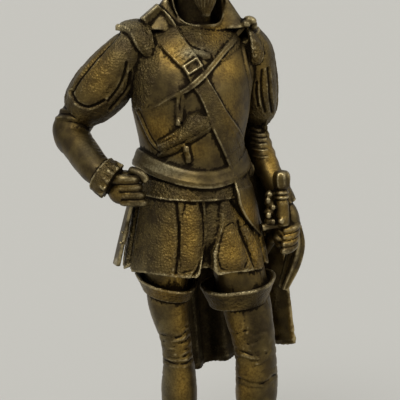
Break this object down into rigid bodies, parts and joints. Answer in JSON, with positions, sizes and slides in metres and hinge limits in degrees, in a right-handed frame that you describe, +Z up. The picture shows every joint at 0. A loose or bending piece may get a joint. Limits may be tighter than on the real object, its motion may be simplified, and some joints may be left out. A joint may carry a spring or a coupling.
{
  "type": "conquistador figurine",
  "caption": "Standing conquistador in cast bronze with comb helmet, breastplate, paned skirt, thigh boots, cape and sword, fist on hip, on a low rectangular plinth.",
  "frame": {"origin": "centre of the plinth's underside", "axes": "+Z up, the figure faces -Y, +X towards the figure's left hand"},
  "size_m": [0.1311, 0.1013, 0.3254],
  "materials": {
    "bronze_figure": "cast bronze with brown-black patina in the hollows and rubbed golden edges",
    "bronze_plinth": "cast bronze with an even dark brown patina"
  },
  "bodies": {
    "root": {"figure": "bronze_figure", "plinth": "bronze_plinth"}
  },
  "joints": []
}
